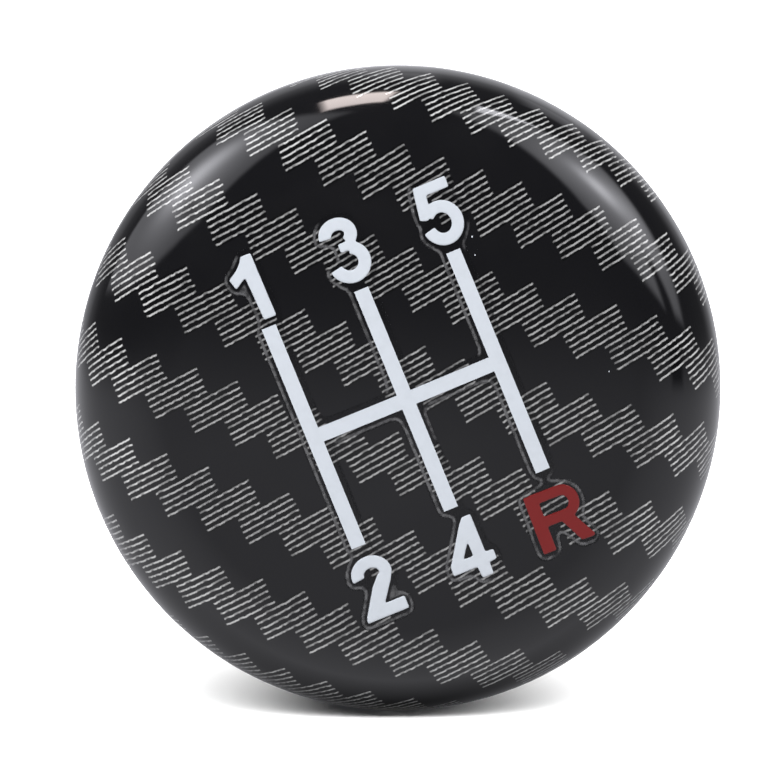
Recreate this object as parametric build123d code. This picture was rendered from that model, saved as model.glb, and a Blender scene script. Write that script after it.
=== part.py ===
from build123d import *
import os
from math import asin, atan2, degrees, sqrt

# Gear shift knob: a moulded head on a turned collar, clamped round a threaded lever bush by set screws.
# Millimetres. +Z is the lever's axis: the collar's flat foot is at Z = 0 and the face of the head is on top.
# +Y is the lever's forward throw (first, third and fifth gear) and +X is to the right of the gate.

# Head, a turned form made of arcs that run into one another
head_diameter = 50.0
crown_radius = 95.0  # dome of the face
rim_radius = 9.4  # roll from the face to the widest point
palm_radius = 28.0  # underside of the head, below the widest point
waist_radius = 18.0  # hollow between the underside and the neck
neck_diameter = 26.0
neck_land = 1.2  # straight foot of the neck, above its rounded edge
neck_edge_radius = 0.5

# Collar, the visible ring and the spigot that the head is moulded over
collar_diameter = 27.0
collar_height = 9.0
foot_chamfer = 0.9
shoulder_chamfer = 0.5
spigot_diameter = 20.5
spigot_across_flats = 18.4
spigot_end_wall = 3.0
grip_groove_count = 2
grip_groove_width = 2.2
grip_groove_depth = 0.7

# Lever bush, tapped M10 x 1.5 and drawn at its tapping drill
bush_diameter = 16.0
bush_length = 25.0
bush_recess = 0.5
bush_edge_chamfer = 0.4
lever_tapping_drill = 8.5
thread_countersink = 0.9
bush_clearance = 0.05

# Set screws, M5, with a flat point and a hexagon socket
screw_count = 3
screw_diameter = 5.0
screw_length = 5.0
screw_point_diameter = 3.5
screw_clearance = 0.05
socket_across_flats = 2.5
socket_depth = 2.4
clamp_groove_depth = 0.5

# Gate, the white lines printed on the face
gate_spacing = 7.65
gate_throw = 18.3
gate_line_width = 1.15
print_thickness = 0.06

# Places that follow from the sizes above
head_radius = head_diameter / 2
neck_radius = neck_diameter / 2
spigot_radius = spigot_diameter / 2
bush_radius = bush_diameter / 2
bush_top = bush_recess + bush_length
spigot_top = bush_top + spigot_end_wall
screw_height = collar_height / 2
clamp_groove_radius = bush_radius - clamp_groove_depth
neck_foot = collar_height + neck_edge_radius + neck_land
arc_reach = palm_radius + waist_radius
neck_step = head_radius - neck_radius
widest_height = neck_foot + sqrt(2 * arc_reach * neck_step - neck_step**2)
crown_centre = widest_height - sqrt((crown_radius - rim_radius) ** 2 - (head_radius - rim_radius) ** 2)
face_height = crown_centre + crown_radius


def turned(outline):
    """The solid that a closed outline of (radius, height) edges sweeps round the lever's axis."""
    return revolve(Plane.XZ * make_face(outline), Axis.Z)


def arc(centre, radius, start, end):
    """An arc about a (radius, height) centre, from one direction to another in degrees."""
    return CenterArc(centre, radius, start, end - start)


def head_outline():
    """Half section of the head: crown, rim, palm, waist and neck, each tangent to the next."""
    rim_centre = (head_radius - rim_radius, widest_height)
    palm_centre = (head_radius - palm_radius, widest_height)
    waist_centre = (neck_radius + waist_radius, neck_foot)
    edge_centre = (neck_radius - neck_edge_radius, collar_height + neck_edge_radius)
    face_edge = 90 - degrees(asin(rim_centre[0] / (crown_radius - rim_radius)))
    palm_end = degrees(atan2(waist_centre[1] - palm_centre[1], waist_centre[0] - palm_centre[0]))
    return [
        arc((0, crown_centre), crown_radius, 90, face_edge),
        arc(rim_centre, rim_radius, face_edge, 0),
        arc(palm_centre, palm_radius, 0, palm_end),
        arc(waist_centre, waist_radius, palm_end + 180, 180),
        Line((neck_radius, neck_foot), (neck_radius, edge_centre[1])),
        arc(edge_centre, neck_edge_radius, 0, -90),
        Line((edge_centre[0], collar_height), (0, collar_height)),
        Line((0, collar_height), (0, face_height)),
    ]


def spigot():
    """Spigot of the collar, with the grooves and the two flats that key it into the head."""
    length = spigot_top - collar_height
    body = Pos(0, 0, collar_height) * extrude(Circle(spigot_radius), length)
    pitch = length / (grip_groove_count + 1)
    groove = Circle(spigot_radius) - Circle(spigot_radius - grip_groove_depth)
    for turn in range(1, grip_groove_count + 1):
        foot = collar_height + turn * pitch - grip_groove_width / 2
        body -= Pos(0, 0, foot) * extrude(groove, grip_groove_width)
    flats = Rectangle(spigot_diameter, spigot_across_flats)
    return body & (Pos(0, 0, collar_height) * extrude(flats, length))


def knob_head():
    """Moulded head, solid but for the socket that the spigot leaves in it."""
    return turned(head_outline()) - spigot()


def base_collar():
    """Turned collar: foot ring, spigot, blind bore for the lever bush and the tapped screw holes."""
    outer = collar_diameter / 2
    ring = Polyline(
        (0, 0),
        (outer - foot_chamfer, 0),
        (outer, foot_chamfer),
        (outer, collar_height - shoulder_chamfer),
        (outer - shoulder_chamfer, collar_height),
        (0, collar_height),
        close=True,
    )
    bore = extrude(Circle(bush_radius + bush_clearance), bush_top)
    collar = turned(ring) + spigot() - bore
    hole = Plane.YZ * Pos(0, screw_height) * Circle(screw_diameter / 2 + screw_clearance)
    for turn in PolarLocations(0, screw_count, start_angle=-90):
        collar -= turn * extrude(hole, outer)
    return collar


def thread_bush():
    """Plain-sided bush that screws on to the lever, with a groove for the set screws to bite in."""
    drill = lever_tapping_drill / 2
    section = Polyline(
        (drill + thread_countersink, bush_recess),
        (bush_radius - bush_edge_chamfer, bush_recess),
        (bush_radius, bush_recess + bush_edge_chamfer),
        (bush_radius, bush_top - bush_edge_chamfer),
        (bush_radius - bush_edge_chamfer, bush_top),
        (drill + thread_countersink, bush_top),
        (drill, bush_top - thread_countersink),
        (drill, bush_recess + thread_countersink),
        close=True,
    )
    groove_width = screw_diameter + 2 * clamp_groove_depth
    groove = Circle(bush_diameter) - Circle(clamp_groove_radius)
    return turned(section) - Pos(0, 0, screw_height - groove_width / 2) * extrude(groove, groove_width)


def set_screw():
    """One set screw along +X, with its flat point on the floor of the bush's groove."""
    radius = screw_diameter / 2
    point = screw_point_diameter / 2
    section = Polyline(
        (0, 0),
        (point, 0),
        (radius, radius - point),
        (radius, screw_length),
        (0, screw_length),
        close=True,
    )
    socket = RegularPolygon(socket_across_flats / 2, 6, major_radius=False)
    body = turned(section) - Pos(0, 0, screw_length - socket_depth) * extrude(socket, socket_depth)
    return Pos(clamp_groove_radius, 0, screw_height) * Rot(0, 90, 0) * body


def set_screws():
    """The set screws, evenly round the collar with one at the back."""
    return Compound([turn * set_screw() for turn in PolarLocations(0, screw_count, start_angle=-90)])


def gate_print():
    """Lines of the gate: three throws and the neutral rail, a skin of ink on the crown of the face."""
    lines = Rectangle(2 * gate_spacing, gate_line_width)
    for column in (-1, 0, 1):
        lines += Pos(column * gate_spacing, 0) * Rectangle(gate_line_width, gate_throw)
    crown = Pos(0, 0, crown_centre)
    skin = crown * Sphere(crown_radius + print_thickness) - crown * Sphere(crown_radius)
    return Pos(0, 0, crown_centre) * extrude(lines, 2 * crown_radius) & skin


def main():
    """Writes one file for each piece."""
    pieces = {
        "knob_head": knob_head(),
        "base_collar": base_collar(),
        "thread_bush": thread_bush(),
        "set_screws": set_screws(),
        "gate_print": gate_print(),
    }
    os.makedirs("parts", exist_ok=True)
    for name, piece in pieces.items():
        export_step(piece, f"parts/{name}.step")
    print(f"face at {face_height:.2f}, widest at {widest_height:.2f}, crown centre at {crown_centre:.2f}")


main()
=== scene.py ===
"""Gear shift knob, dressed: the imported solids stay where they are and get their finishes.

Metres, in the frame of the solids. +Z is the lever's axis, with the collar's foot at Z = 0 and the face on
top. +Y is the forward throw of the lever and +X is to the right of the gate. The marks on the face are drawn
in millimetres about their own centres, and the drawing is brought to metres when it is laid on the crown.
"""
import logging
import math
from dataclasses import dataclass
from enum import Enum
from typing import Callable, ClassVar

import bmesh
import bpy
import numpy as np
from mathutils import Matrix, Vector


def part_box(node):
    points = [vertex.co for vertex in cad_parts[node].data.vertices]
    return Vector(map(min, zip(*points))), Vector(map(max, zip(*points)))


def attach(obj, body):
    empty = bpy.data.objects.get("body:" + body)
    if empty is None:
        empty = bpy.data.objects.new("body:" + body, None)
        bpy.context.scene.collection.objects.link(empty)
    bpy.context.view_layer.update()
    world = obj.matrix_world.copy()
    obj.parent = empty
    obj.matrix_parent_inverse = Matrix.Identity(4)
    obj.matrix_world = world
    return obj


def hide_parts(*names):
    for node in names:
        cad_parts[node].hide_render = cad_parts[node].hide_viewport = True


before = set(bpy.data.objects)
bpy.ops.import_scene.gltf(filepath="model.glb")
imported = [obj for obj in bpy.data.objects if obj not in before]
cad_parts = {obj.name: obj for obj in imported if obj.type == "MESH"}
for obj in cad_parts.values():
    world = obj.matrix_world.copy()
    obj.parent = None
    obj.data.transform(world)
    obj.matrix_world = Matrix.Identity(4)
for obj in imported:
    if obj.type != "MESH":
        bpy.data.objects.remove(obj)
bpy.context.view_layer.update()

log = logging.getLogger("gear_knob")

Pair = tuple[float, float]
Triple = tuple[float, float, float]
Colour = tuple[float, float, float, float]
Spot = tuple[float, float, float, float]
Line = list[Pair]
Field = np.ndarray
Socket = bpy.types.NodeSocket
Sockets = bpy.types.bpy_prop_collection

MM = 0.001
ON_AXIS = 1e-7
BODY = "root"
PICTURE_SIDE = 782
PRINT_MAP = "print"
PRINT_MAP_SPAN = 0.1
GLOW = "glow"
# The film's pale band, partly residue and partly painted edge highlight.
RESIDUE_AND_EDGE_SHEEN = "residue_and_edge_sheen"


class Graph:
    """One node tree, with short calls that place a node and wire its inputs."""

    def __init__(self, tree: bpy.types.NodeTree) -> None:
        """Keeps the tree that the nodes go into."""
        self.tree = tree

    def feed(self, target: Socket, value: object) -> None:
        """Wires a socket, or sets a constant, into an input.

        Args:
            target: The input.
            value: The socket or the constant.
        """
        if isinstance(value, bpy.types.NodeSocket):
            self.tree.links.new(value, target)
        else:
            target.default_value = value

    def wire(self, node: bpy.types.Node, inputs: dict) -> None:
        """Wires sockets, or sets constants, into a node's inputs, by name or by number."""
        for key, value in inputs.items():
            self.feed(node.inputs[key], value)

    def node(self, kind: str, inputs: dict | None = None, **settings: object) -> bpy.types.Node:
        """Places one node.

        Args:
            kind: Blender's name of the node type.
            inputs: Sockets or constants for its inputs, by name or by number.
            settings: Properties of the node itself, which are set first.

        Returns:
            The new node.
        """
        made = self.tree.nodes.new(kind)
        for name, value in settings.items():
            setattr(made, name, value)
        self.wire(made, inputs or {})
        return made

    def math(self, operation: str, *values: object) -> Socket:
        """The result of one Math node on sockets or numbers."""
        return self.node("ShaderNodeMath", dict(enumerate(values)), operation=operation).outputs[0]

    def vector(self, operation: str, *values: object) -> Socket:
        """The result of one Vector Math node: a number for a product or a length, a vector otherwise."""
        made = self.node("ShaderNodeVectorMath", dict(enumerate(values)), operation=operation)
        return made.outputs["Value" if operation in ("DOT_PRODUCT", "LENGTH") else "Vector"]

    def combine(self, x: object, y: object, z: object = 0.0) -> Socket:
        """A vector put together from three numbers."""
        return self.node("ShaderNodeCombineXYZ", {0: x, 1: y, 2: z}).outputs[0]

    def ease(self, value: Socket, low: float, high: float, start: float = 0.0, end: float = 1.0) -> Socket:
        """A smooth step of a value.

        Args:
            value: The number to read.
            low: Where the step begins.
            high: Where the step is over.
            start: Result at the low end.
            end: Result at the high end.

        Returns:
            The eased number.
        """
        inputs = {0: value, 1: low, 2: high, 3: start, 4: end}
        return self.node("ShaderNodeMapRange", inputs, interpolation_type="SMOOTHSTEP").outputs[0]

    def blend(self, factor: Socket, first: object, second: object) -> Socket:
        """A colour between two others, by a factor from 0 to 1."""
        made = self.node("ShaderNodeMix", {0: factor, 6: first, 7: second}, data_type="RGBA")
        return made.outputs[2]

    def noise(self, place: Socket, scale: float, detail: float = 2.0, flat: bool = False) -> Socket:
        """Soft noise from 0 to 1.

        Args:
            place: Coordinates to read.
            scale: Features for each unit of the coordinates.
            detail: How many finer octaves are added.
            flat: Reads two coordinates instead of three.

        Returns:
            The noise value.
        """
        inputs = {"Vector": place, "Scale": scale, "Detail": detail}
        size = "2D" if flat else "3D"
        return self.node("ShaderNodeTexNoise", inputs, noise_dimensions=size).outputs[0]


def add_sockets(tree: bpy.types.NodeTree, way: str, kinds: dict[str, str]) -> None:
    """Gives a node group some named sockets.

    Args:
        tree: The group.
        way: INPUT or OUTPUT.
        kinds: Socket type of each, by name.
    """
    for label, kind in kinds.items():
        tree.interface.new_socket(name=label, in_out=way, socket_type=kind)


class SharedEffect:
    """An effect that several finishes use: a shader node group that reads a place and is built once."""

    name: ClassVar[str]
    gives: ClassVar[tuple[str, ...]]

    def results(self, graph: Graph, place: Socket) -> list[Socket]:
        """The effect's values at a place, in the order of their names."""
        raise NotImplementedError

    def build(self) -> bpy.types.NodeTree:
        """Makes the group.

        Returns:
            The group, with the input Place and the effect's outputs.
        """
        tree = bpy.data.node_groups.new(self.name, "ShaderNodeTree")
        add_sockets(tree, "INPUT", {"Place": "NodeSocketVector"})
        add_sockets(tree, "OUTPUT", dict.fromkeys(self.gives, "NodeSocketFloat"))
        graph = Graph(tree)
        place = graph.node("NodeGroupInput").outputs["Place"]
        graph.node("NodeGroupOutput", dict(zip(self.gives, self.results(graph, place))))
        return tree

    def put(self, graph: Graph, place: Socket) -> Sockets:
        """The effect's outputs in a material that reads the given coordinates."""
        tree = bpy.data.node_groups.get(self.name) or self.build()
        return graph.node("ShaderNodeGroup", {"Place": place}, node_tree=tree).outputs


@dataclass(frozen=True)
class HandlingMarks(SharedEffect):
    """Dust, smears and ripple of a lacquered or inked surface."""

    name: ClassVar[str] = "handling_marks"
    gives: ClassVar[tuple[str, ...]] = ("Dust", "Smear", "Ripple")
    dust_cell: float = 0.0032
    dust_radius: float = 0.00009
    dust_share: float = 0.30
    smear_size: float = 0.011
    smear_range: Pair = (0.45, 0.75)
    ripple_size: float = 0.0016

    def results(self, graph: Graph, place: Socket) -> list[Socket]:
        """Dust on some cells of a scatter, and smears and ripple from noise.

        Args:
            graph: The group's graph.
            place: The coordinates to read.

        Returns:
            Two masks and a height.
        """
        inputs = {"Vector": place, "Scale": 1 / self.dust_cell}
        cells = graph.node("ShaderNodeTexVoronoi", inputs, feature="F1").outputs
        near = self.dust_radius / self.dust_cell
        dot = graph.ease(cells["Distance"], 0.5 * near, near, 1.0, 0.0)
        pick = graph.vector("DOT_PRODUCT", cells["Color"], (1.0, 0.0, 0.0))
        dust = graph.math("MULTIPLY", dot, graph.math("LESS_THAN", pick, self.dust_share))
        smear = graph.ease(graph.noise(place, 1 / self.smear_size, 4.0), *self.smear_range)
        return [dust, smear, graph.noise(place, 1 / self.ripple_size, 1.0)]


@dataclass(frozen=True)
class TurningMarks(SharedEffect):
    """Fine rings that a lathe tool leaves, and a slow change of tone."""

    name: ClassVar[str] = "turning_marks"
    gives: ClassVar[tuple[str, ...]] = ("Ring", "Band")
    fine: float = 0.00009
    broad: float = 0.0013

    def results(self, graph: Graph, place: Socket) -> list[Socket]:
        """Noise over the turned section.

        Args:
            graph: The group's graph.
            place: The coordinates to read.

        Returns:
            A height and a value.
        """
        flat = graph.vector("MULTIPLY", place, (1.0, 1.0, 0.0))
        height = graph.vector("DOT_PRODUCT", place, (0.0, 0.0, 1.0))
        section = graph.combine(graph.vector("LENGTH", flat), height)
        ring = graph.noise(section, 1 / self.fine, 1.0, flat=True)
        return [ring, graph.noise(section, 1 / self.broad, 3.0, flat=True)]


def new_material(name: str) -> tuple[bpy.types.Material, Graph, bpy.types.Node]:
    """An empty node material.

    Args:
        name: Name of the material.

    Returns:
        The material, its graph and its Principled shader.
    """
    material = bpy.data.materials.new(name)
    material.use_nodes = True
    graph = Graph(material.node_tree)
    return material, graph, material.node_tree.nodes["Principled BSDF"]


def object_place(graph: Graph) -> Socket:
    """Object coordinates, which are metres in the frame of the solids."""
    return graph.node("ShaderNodeTexCoord").outputs["Object"]


def bump(graph: Graph, height: Socket, strength: float, depth: float) -> Socket:
    """The normal of a surface raised by a height, with the depth in metres."""
    inputs = {"Strength": strength, "Distance": depth, "Height": height}
    return graph.node("ShaderNodeBump", inputs).outputs[0]


def handled(graph: Graph, shader: bpy.types.Node, place: Socket, gloss: Pair, ripple: Pair) -> Sockets:
    """Gives a shader the gloss and the ripple of a handled surface.

    Args:
        graph: The material's graph.
        shader: Its shader.
        place: The coordinates to read.
        gloss: Roughness where it is clean and where it is smeared.
        ripple: Strength and depth of the ripple.

    Returns:
        The handling marks, by name.
    """
    marks = HandlingMarks().put(graph, place)
    rough = graph.ease(marks["Smear"], 0.0, 1.0, *gloss)
    graph.wire(shader, {"Roughness": rough, "Normal": bump(graph, marks["Ripple"], *ripple)})
    return marks


@dataclass(frozen=True)
class CarbonPrint:
    """Black gloss with a printed two-by-two twill: patches of thin grey lines that step across the face.

    The tows run along and across at angles from +X, and the anchor is the centre of one patch. The print
    bends a little as it is drawn over the dome: tows gained for each square metre of xx, xy and yy. The lines
    are paler towards the rim.
    """

    tow_along: float = 0.002377
    tow_across: float = 0.002365
    along_angle: float = 7.31
    across_angle: float = 93.92
    anchor: Pair = (-0.004360, 0.006100)
    bend_along: Triple = (-243.0, 354.0, -956.0)
    bend_across: Triple = (-98.0, -126.0, 551.0)
    patch_tows: float = 1.86
    repeat_tows: float = 4.0
    lines_per_tow: float = 5.0
    line_share: float = 0.28
    line_stride: float = 9.7
    edge_share: float = 0.10
    waver: float = 0.31
    waver_pitch: float = 0.0005
    end_jitter: float = 0.018
    end_soft: float = 0.008
    knot_pitch: float = 0.0005
    knot_range: Pair = (0.3, 0.62)
    thin_tone: float = 0.45
    fade_run: Pair = (0.038, 0.0435)
    rim_run: Pair = (0.0185, 0.0215)
    black: Colour = (0.0064, 0.0064, 0.0078, 1.0)
    gap_black: Colour = (0.0028, 0.0028, 0.0034, 1.0)
    worn_black: Colour = (0.0086, 0.0086, 0.01, 1.0)
    grey: Colour = (0.44, 0.44, 0.445, 1.0)
    rim_grey: Colour = (0.75, 0.75, 0.755, 1.0)
    dust: Colour = (0.16, 0.16, 0.16, 1.0)
    gloss: Pair = (0.07, 0.1)
    ripple: Pair = (0.05, 0.00004)

    def weave_place(self, graph: Graph) -> tuple[Socket, Socket, Socket]:
        """Where a point of the print lies.

        Args:
            graph: The material's graph.

        Returns:
            Tows along, tows across, and the distance from the middle of the face in metres.
        """
        first, second = math.radians(self.along_angle), math.radians(self.across_angle)
        along = (self.tow_along * math.cos(first), self.tow_along * math.sin(first))
        across = (self.tow_across * math.cos(second), self.tow_across * math.sin(second))
        det = along[0] * across[1] - along[1] * across[0]
        read_along = (across[1] / det, -across[0] / det, 0.0)
        read_across = (-along[1] / det, along[0] / det, 0.0)
        middle = -0.5 * PRINT_MAP_SPAN
        span = (PRINT_MAP_SPAN, PRINT_MAP_SPAN, 0.0)
        uv = graph.node("ShaderNodeUVMap", uv_map=PRINT_MAP).outputs[0]
        point = graph.vector("MULTIPLY_ADD", uv, span, (middle, middle, 0.0))
        local = graph.vector("SUBTRACT", point, (*self.anchor, 0.0))
        parts = graph.node("ShaderNodeSeparateXYZ", {0: point}).outputs
        products = [graph.math("MULTIPLY", parts[i], parts[j]) for i, j in ((0, 0), (0, 1), (1, 1))]
        squares = graph.combine(*products)
        u = graph.vector("DOT_PRODUCT", local, read_along)
        u = graph.math("ADD", u, graph.vector("DOT_PRODUCT", squares, self.bend_along))
        v = graph.math("ADD", graph.vector("DOT_PRODUCT", local, read_across), 0.5)
        v = graph.math("ADD", v, graph.vector("DOT_PRODUCT", squares, self.bend_across))
        return u, v, graph.vector("LENGTH", point)

    def lines(self, graph: Graph, u: Socket, v: Socket) -> tuple[Socket, Socket]:
        """The grey lines of the twill.

        Args:
            graph: The material's graph.
            u: Tows along.
            v: Tows across.

        Returns:
            A mask that is 1 on the lines, uneven as the print is, and one that is 1 on the patches.
        """
        count = graph.math("MULTIPLY", v, self.lines_per_tow)
        line = graph.math("FLOOR", count)
        row = graph.math("FLOOR", v)
        seat = graph.combine(u, graph.math("MULTIPLY", line, self.line_stride))
        sway = graph.noise(seat, self.tow_along / self.waver_pitch, 1.0, flat=True)
        shift = graph.math("MULTIPLY", graph.math("SUBTRACT", sway, 0.5), self.waver)
        off = graph.math("ADD", graph.math("SUBTRACT", graph.math("FRACT", count), 0.5), shift)
        half, soft = self.line_share / 2, self.edge_share
        core = graph.ease(graph.math("ABSOLUTE", off), half - soft, half + soft, 1.0, 0.0)
        repeat = graph.math("DIVIDE", graph.math("ADD", u, row), self.repeat_tows)
        turn = graph.math("ADD", repeat, 0.5)
        cell = graph.math("FLOOR", turn)
        ends = graph.node("ShaderNodeTexWhiteNoise", {"Vector": graph.combine(line, cell)})
        ragged = graph.math("MULTIPLY", graph.math("SUBTRACT", ends.outputs[0], 0.5), self.end_jitter)
        reach = graph.math("ABSOLUTE", graph.math("SUBTRACT", graph.math("FRACT", turn), 0.5))
        reach = graph.math("ADD", reach, ragged)
        end = 0.5 * self.patch_tows / self.repeat_tows
        inside = graph.ease(reach, end - self.end_soft, end + self.end_soft, 1.0, 0.0)
        knots = graph.noise(seat, self.tow_along / self.knot_pitch, 1.0, flat=True)
        tone = graph.ease(knots, *self.knot_range, self.thin_tone, 1.0)
        return graph.math("MULTIPLY", graph.math("MULTIPLY", core, inside), tone), inside

    def material(self) -> bpy.types.Material:
        """The head's finish: the print under a clear gloss lacquer.

        Returns:
            The material.
        """
        material, graph, shader = new_material("carbon_print")
        u, v, out = self.weave_place(graph)
        lines, patches = self.lines(graph, u, v)
        mask = graph.math("MULTIPLY", lines, graph.ease(out, *self.fade_run, 1.0, 0.0))
        marks = handled(graph, shader, object_place(graph), self.gloss, self.ripple)
        ground = graph.blend(marks["Smear"], self.black, self.worn_black)
        ground = graph.blend(patches, ground, self.gap_black)
        ink = graph.blend(graph.ease(out, *self.rim_run), self.grey, self.rim_grey)
        colour = graph.blend(mask, ground, ink)
        graph.feed(shader.inputs["Base Color"], graph.blend(marks["Dust"], colour, self.dust))
        return material


class InkShade(Enum):
    """Inks of the transfer, with the colour of each."""

    WHITE = (0.71, 0.755, 0.825, 1.0)
    RED = (0.197, 0.0142, 0.0138, 1.0)


@dataclass(frozen=True)
class TransferInk:
    """Screen-printed ink: an even coat with a slight mottle and a soft gloss."""

    shade: InkShade
    mottle: float = 0.965
    mottle_size: float = 0.0007
    mottle_range: Pair = (0.3, 0.6)
    gloss: Pair = (0.3, 0.42)
    ripple: Pair = (0.15, 0.00006)

    def material(self) -> bpy.types.Material:
        """The finish of the gate, the numerals and the reverse mark.

        Returns:
            The material.
        """
        material, graph, shader = new_material(f"{self.shade.name.lower()}_ink")
        place = object_place(graph)
        handled(graph, shader, place, self.gloss, self.ripple)
        thin = tuple(self.mottle * part for part in self.shade.value[:3]) + (1.0,)
        cover = graph.ease(graph.noise(place, 1 / self.mottle_size, 3.0), *self.mottle_range)
        graph.feed(shader.inputs["Base Color"], graph.blend(cover, thin, self.shade.value))
        return material


@dataclass(frozen=True)
class ClearFilm:
    """Carrier film of the transfer: nearly clear, a little smoky over the print.

    A pale band is painted along its cut edge, as the mesh says: partly residue, partly a painted highlight on
    the edges that face one side. The bead of the edge itself is dark.
    """

    smoke: Colour = (0.006, 0.006, 0.007, 1.0)
    edge: Colour = (0.012, 0.012, 0.014, 1.0)
    residue_and_edge_sheen: Colour = (0.15, 0.15, 0.158, 1.0)
    sheet_cover: Pair = (0.1, 0.2)
    sheet_gloss: Pair = (0.08, 0.16)
    edge_cover: Pair = (0.05, 0.3)
    edge_gloss: Pair = (0.2, 0.3)
    cloud_scale: float = 380.0
    cloud_range: Pair = (0.38, 0.6)
    crumb: float = 0.0005
    crumb_range: Pair = (0.35, 0.6)
    crumb_cover: Pair = (0.35, 0.9)
    full_residue_and_sheen: float = 0.3
    ripple: Pair = (0.1, 0.00005)

    def sheet_material(self) -> bpy.types.Material:
        """The finish of the flat of the film.

        Returns:
            The material.
        """
        material, graph, shader, cover = self.coat("clear_film", self.sheet_cover, self.sheet_gloss)
        # Pale band along the cut edge: partly residue, partly painted highlight on the edges that face one
        # side.
        painted_sheen_and_residue = graph.node("ShaderNodeAttribute", attribute_name=RESIDUE_AND_EDGE_SHEEN).outputs["Fac"]
        crumbs = graph.noise(object_place(graph), 1 / self.crumb, 2.0)
        dirt_and_sheen = graph.math("MULTIPLY", painted_sheen_and_residue, graph.ease(crumbs, *self.crumb_range, *self.crumb_cover))
        colour = graph.blend(graph.ease(dirt_and_sheen, 0.0, self.full_residue_and_sheen), self.smoke, self.residue_and_edge_sheen)
        graph.wire(shader, {"Base Color": colour, "Alpha": graph.math("MAXIMUM", cover, dirt_and_sheen)})
        return material

    def edge_material(self) -> bpy.types.Material:
        """The finish of the raised cut edge.

        Returns:
            The material.
        """
        material, graph, shader, cover = self.coat("clear_film_edge", self.edge_cover, self.edge_gloss)
        graph.wire(shader, {"Base Color": self.edge, "Alpha": cover})
        return material

    def coat(
        self, name: str, cover: Pair, gloss: Pair
    ) -> tuple[bpy.types.Material, Graph, bpy.types.Node, Socket]:
        """A see-through coat whose cover changes over the surface.

        Args:
            name: Name of the material.
            cover: Least and most cover, from 0 to 1.
            gloss: Least and most roughness.

        Returns:
            The material, its graph, its shader and its cover.
        """
        material, graph, shader = new_material(name)
        place = object_place(graph)
        handled(graph, shader, place, gloss, self.ripple)
        clouds = graph.noise(place, self.cloud_scale, 2.0)
        return material, graph, shader, graph.ease(clouds, *self.cloud_range, *cover)


class MetalShade(Enum):
    """Metals of the knob, with base colour, worn colour, metallic share and roughness of each."""

    BLACK_ANODISED = ((0.012, 0.012, 0.013, 1.0), (0.03, 0.03, 0.032, 1.0), 0.75, 0.30)
    BARE_ALUMINIUM = ((0.62, 0.62, 0.63, 1.0), (0.74, 0.74, 0.75, 1.0), 1.0, 0.28)
    BLACK_STEEL = ((0.028, 0.028, 0.03, 1.0), (0.06, 0.058, 0.056, 1.0), 0.9, 0.38)


@dataclass(frozen=True)
class TurnedMetal:
    """Turned metal with the rings of the tool and a slow change of tone."""

    shade: MetalShade
    band_range: Pair = (0.35, 0.7)
    ring_strength: float = 0.35
    ring_depth: float = 0.000004
    smear_rough: float = 0.1

    def material(self) -> bpy.types.Material:
        """The finish of the collar, the bush or the screws.

        Returns:
            The material.
        """
        material, graph, shader = new_material(self.shade.name.lower())
        base, worn, metal, rough = self.shade.value
        place = object_place(graph)
        rings = TurningMarks().put(graph, place)
        smear = HandlingMarks().put(graph, place)["Smear"]
        inputs = {
            "Base Color": graph.blend(graph.ease(rings["Band"], *self.band_range), base, worn),
            "Metallic": metal,
            "Roughness": graph.ease(smear, 0.0, 1.0, rough, rough + self.smear_rough),
            "Normal": bump(graph, rings["Ring"], self.ring_strength, self.ring_depth),
        }
        graph.wire(shader, inputs)
        return material


def add_object(name: str, data: bpy.types.ID) -> bpy.types.Object:
    """A new object in the scene, at the origin.

    Args:
        name: Name of the object.
        data: Its mesh, lamp or camera.

    Returns:
        The object.
    """
    made = bpy.data.objects.new(name, data)
    bpy.context.scene.collection.objects.link(made)
    return made


def standing(axes: tuple[Vector, Vector, Vector], spot: Vector) -> Matrix:
    """The matrix of something that stands at a spot, by its own three axes."""
    return Matrix.Translation(spot) @ Matrix(axes).transposed().to_4x4()


def new_piece(name: str, mesh: bpy.types.Mesh, material: bpy.types.Material) -> bpy.types.Object:
    """An object for a finished mesh, at the origin.

    Args:
        name: Name of the piece.
        mesh: Its mesh, in place.
        material: Its only material.

    Returns:
        The object, in the scene.
    """
    mesh.name = name
    mesh.materials.clear()
    mesh.materials.append(material)
    return add_object(name, mesh)


def mesh_from(work: bmesh.types.BMesh, name: str, smooth_under: float = 35.0) -> bpy.types.Mesh:
    """A mesh from a work mesh, smooth but for its sharp edges.

    Args:
        work: The work mesh, which is freed.
        name: Name of the mesh.
        smooth_under: Edges that turn by more than this many degrees stay sharp.

    Returns:
        The new mesh.
    """
    for face in work.faces:
        face.smooth = True
    limit = math.radians(smooth_under)
    for edge in work.edges:
        edge.smooth = edge.calc_face_angle(0.0) < limit
    mesh = bpy.data.meshes.new(name)
    work.to_mesh(mesh)
    work.free()
    return mesh


def lathe(outline: list[Pair], segments: int) -> bmesh.types.BMesh:
    """A turned form.

    Args:
        outline: Points as (radius, height). It starts and ends on the axis, or closes on itself.
        segments: Steps round the axis.

    Returns:
        A closed work mesh with its faces outwards.
    """
    work = bmesh.new()
    turns = [2 * math.pi * step / segments for step in range(segments)]
    rows = []
    for radius, height in outline:
        steps = turns if radius > ON_AXIS else [0.0]
        rows.append([work.verts.new((radius * math.cos(a), radius * math.sin(a), height)) for a in steps])
    on_axis = len(rows[0]) == 1
    pairs = list(zip(rows, rows[1:])) + ([] if on_axis else [(rows[-1], rows[0])])
    for upper, lower in pairs:
        for step in range(segments):
            after = (step + 1) % segments
            corners = [upper[step % len(upper)], lower[step % len(lower)]]
            corners += [lower[after % len(lower)], upper[after % len(upper)]]
            work.faces.new(list(dict.fromkeys(corners)))
    bmesh.ops.recalc_face_normals(work, faces=work.faces[:])
    return work


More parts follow.
